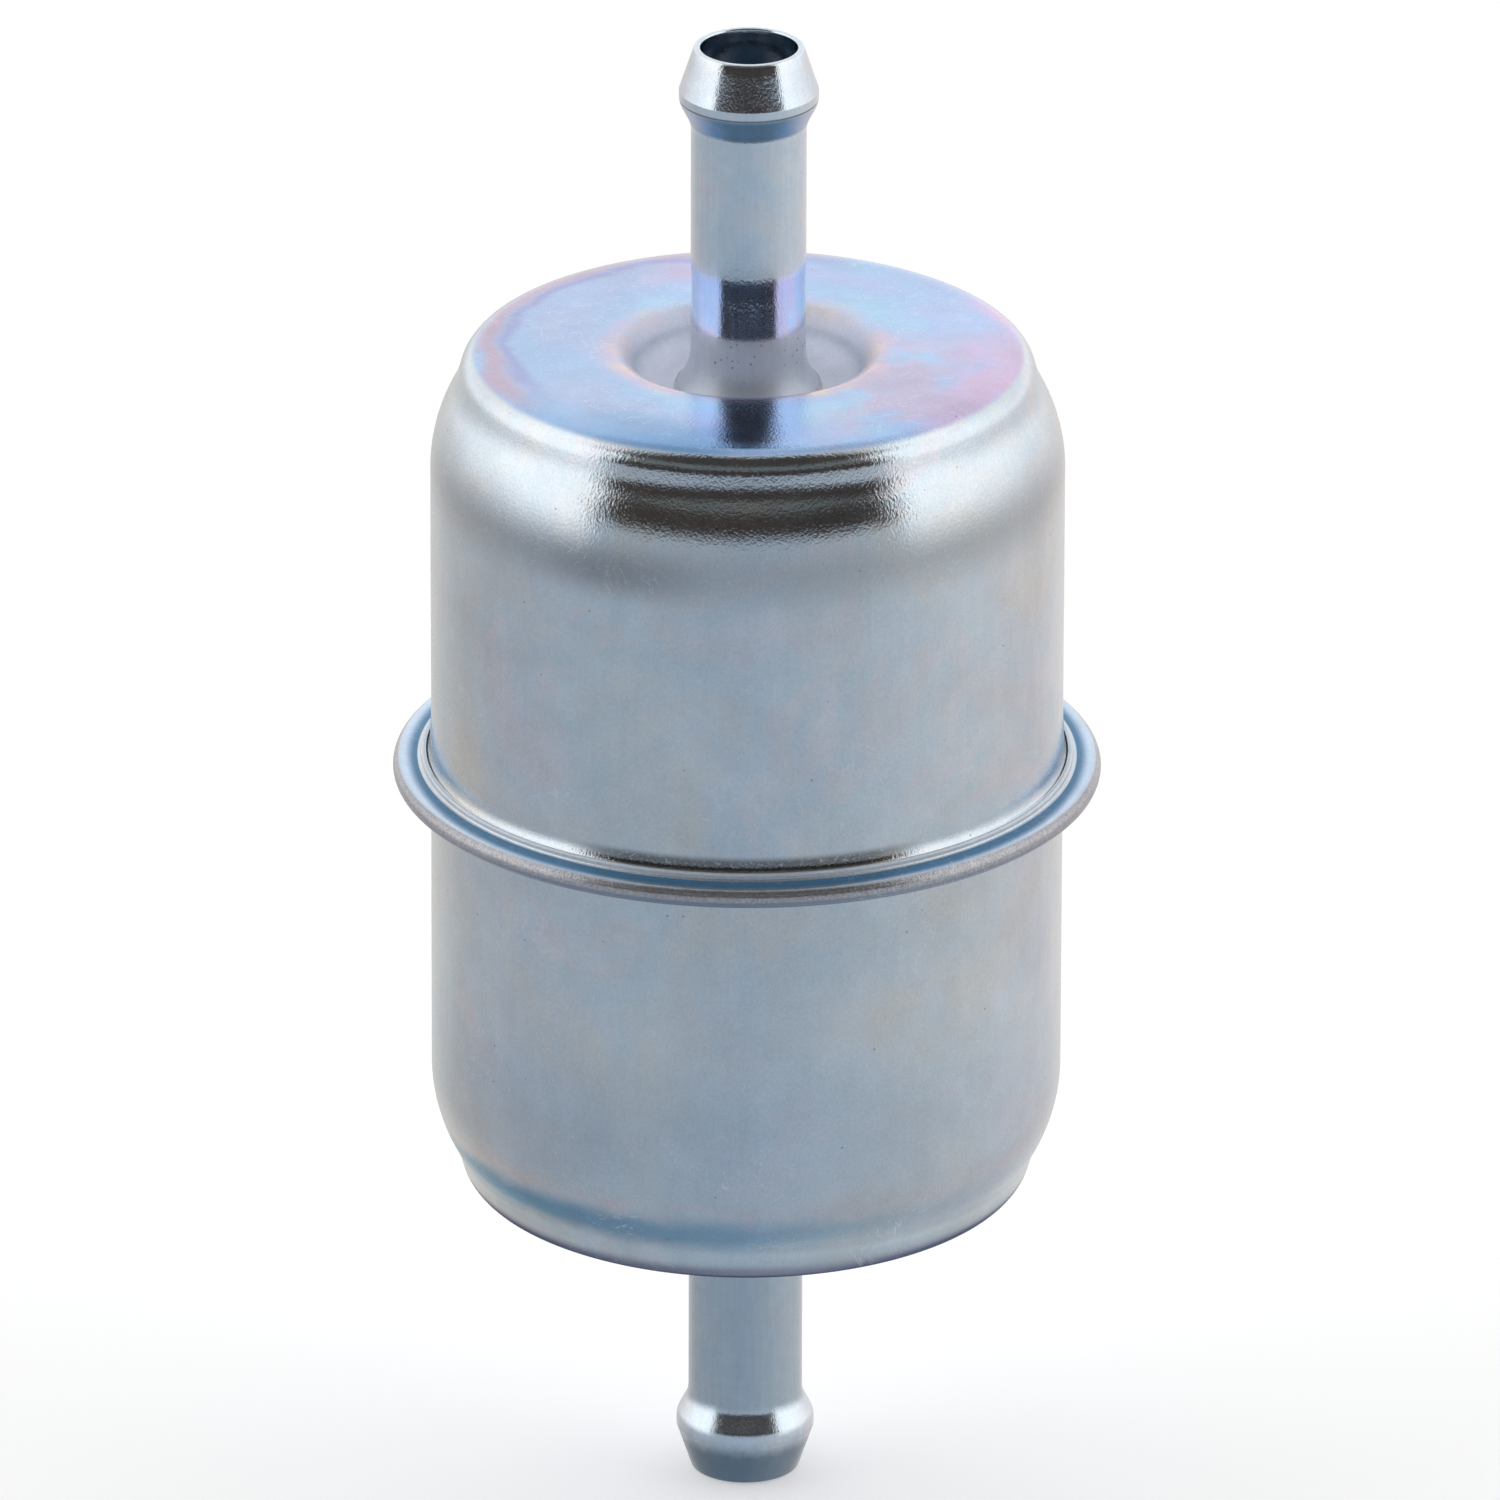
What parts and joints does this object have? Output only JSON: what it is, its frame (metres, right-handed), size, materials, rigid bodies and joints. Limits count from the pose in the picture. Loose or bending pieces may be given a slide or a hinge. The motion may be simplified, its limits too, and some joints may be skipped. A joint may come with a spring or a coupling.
{
  "type": "fuel filter",
  "caption": "Round two-piece metal can in-line fuel filter with a rolled seam bead, dimpled ends and a barbed hose nipple at each end, holding a spring-loaded pleated element.",
  "frame": {"origin": "on the filter's axis at the mid-plane of the rolled seam, which is the middle of the whole part", "axes": "+Z along the axis towards the inlet nipple; X and Y across the can"},
  "size_m": [0.05, 0.05, 0.1084],
  "materials": {
    "zinc_can": "satin blue-white zinc plate with faint iridescence",
    "zinc_tube": "bright blue-white zinc plate",
    "plated_braze": "plated braze fillet",
    "seam_compound": "cured sealing compound",
    "filter_paper": "resin-treated filter paper",
    "bright_steel": "bright pressed tinplate",
    "cap_adhesive": "cured plastisol",
    "nitrile": "matt black nitrile",
    "spring_wire": "drawn spring wire"
  },
  "bodies": {
    "housing": {"inlet_shell": "zinc_can", "outlet_shell": "zinc_can", "seam_seal": "seam_compound", "inlet_nipple": "zinc_tube", "outlet_nipple": "zinc_tube", "inlet_braze_ring": "plated_braze", "outlet_braze_ring": "plated_braze"},
    "element": {"filter_pleats": "filter_paper", "pleat_seam_clip": "bright_steel", "centre_tube": "bright_steel", "closed_end_cap": "bright_steel", "open_end_cap": "bright_steel", "closed_cap_adhesive": "cap_adhesive", "open_cap_adhesive": "cap_adhesive", "outlet_seal": "nitrile", "element_spring": "spring_wire", "spring_seat": "bright_steel", "centring_spider": "bright_steel"}
  },
  "joints": [
    {"name": "element_lift", "type": "slide", "parent": "housing", "child": "element", "axis": [0, 0, 1], "range_m": [0, 0.002], "stiffness_N_per_m": 500, "springref_m": -0.006, "deforming": ["element_spring"]}
  ]
}
